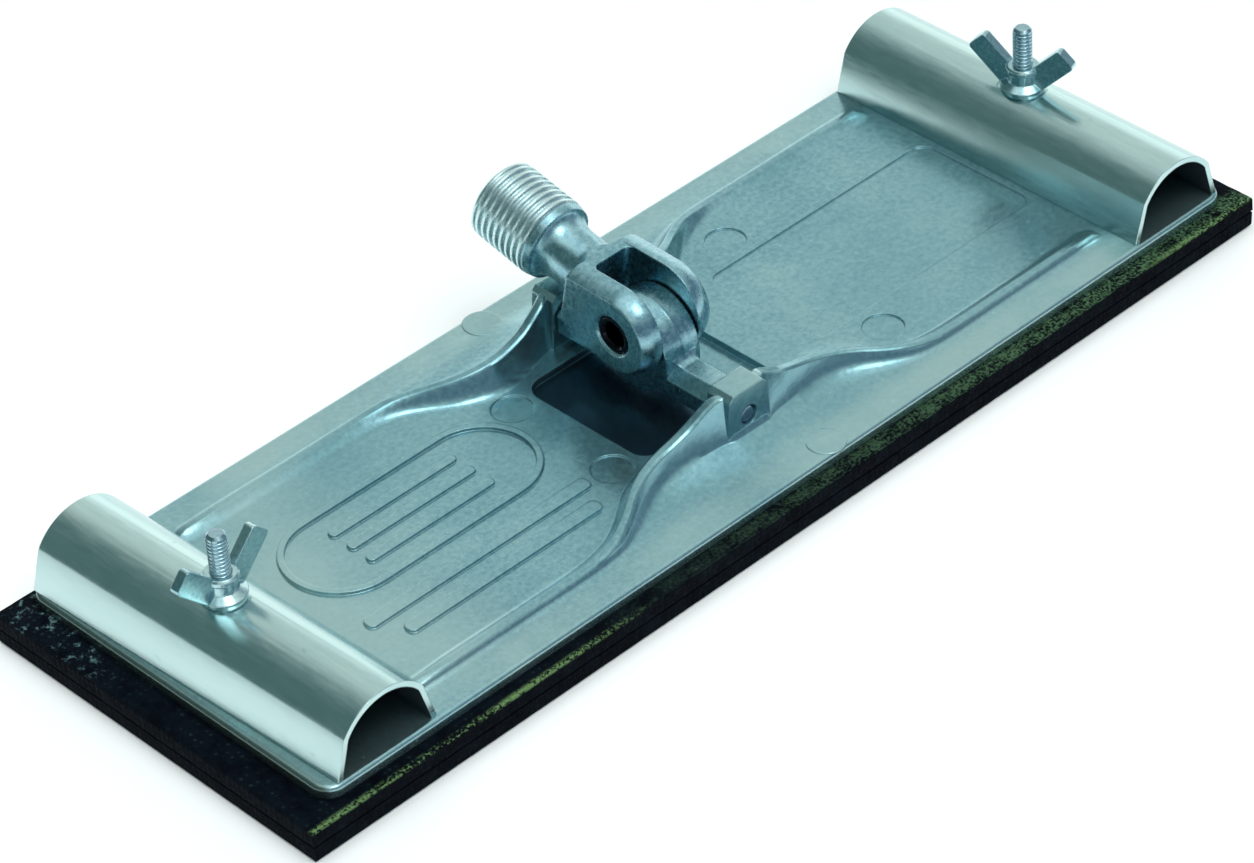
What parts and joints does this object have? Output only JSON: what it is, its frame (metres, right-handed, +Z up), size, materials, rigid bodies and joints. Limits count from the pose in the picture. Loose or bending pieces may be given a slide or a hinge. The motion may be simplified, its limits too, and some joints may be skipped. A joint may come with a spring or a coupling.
{
  "type": "pole sander head",
  "caption": "Flat rectangular sanding head on a soft pad, with arched end clamps, wing nuts and a two-axis swivel ending in a male pole thread.",
  "frame": {"origin": "underside of the pad, straight below the middle of the swivel and of the sole plate", "axes": "+X along the head, +Y across it towards the side the fork lies on, +Z up from the sanding face"},
  "size_m": [0.239, 0.084, 0.0398],
  "materials": {
    "cast_plate": "satin die-cast with fine mottling",
    "pad_rubber": "matte pebbled",
    "zinc_screw": "bright zinc plate",
    "pin_steel": "ground bright",
    "clamp_sheet": "bright zinc plate, rolled",
    "zinc_nut": "bright zinc plate",
    "cast_swivel": "tumbled casting, mottled",
    "black_pin": "black oiled, glossy"
  },
  "bodies": {
    "base": {"base_plate": "cast_plate", "pad": "pad_rubber", "left_screw": "zinc_screw", "right_screw": "zinc_screw", "trunnion_pin": "pin_steel"},
    "swivel": {"swivel_block": "cast_swivel"},
    "fork": {"fork": "cast_swivel", "fork_pin": "black_pin"},
    "left_clamp": {"left_clamp": "clamp_sheet"},
    "right_clamp": {"right_clamp": "clamp_sheet"},
    "left_nut": {"left_wing_nut": "zinc_nut"},
    "right_nut": {"right_wing_nut": "zinc_nut"}
  },
  "joints": [
    {"name": "swivel_tilt", "type": "hinge", "parent": "base", "child": "swivel", "pos_m": [0, 0, 0.01435], "axis": [0, 1, 0], "range_deg": [-40, 40]},
    {"name": "fork_tilt", "type": "hinge", "parent": "swivel", "child": "fork", "pos_m": [0, 0, 0.02395], "axis": [1, 0, 0], "range_deg": [0, 155]},
    {"name": "left_clamp_lift", "type": "slide", "parent": "base", "child": "left_clamp", "axis": [0, 0, 1], "range_m": [0, 0.004]},
    {"name": "left_nut_spin", "type": "hinge", "parent": "left_clamp", "child": "left_nut", "pos_m": [-0.1009, 0, 0.0215], "axis": [0, 0, 1], "range_deg": [0, 1800]},
    {"name": "right_clamp_lift", "type": "slide", "parent": "base", "child": "right_clamp", "axis": [0, 0, 1], "range_m": [0, 0.004]},
    {"name": "right_nut_spin", "type": "hinge", "parent": "right_clamp", "child": "right_nut", "pos_m": [0.1009, 0, 0.0215], "axis": [0, 0, 1], "range_deg": [0, 1800]}
  ],
  "couplings": [
    {"joint": "left_nut_spin", "follows": "left_clamp_lift", "rad_per_m": 7854},
    {"joint": "right_nut_spin", "follows": "right_clamp_lift", "rad_per_m": 7854}
  ]
}
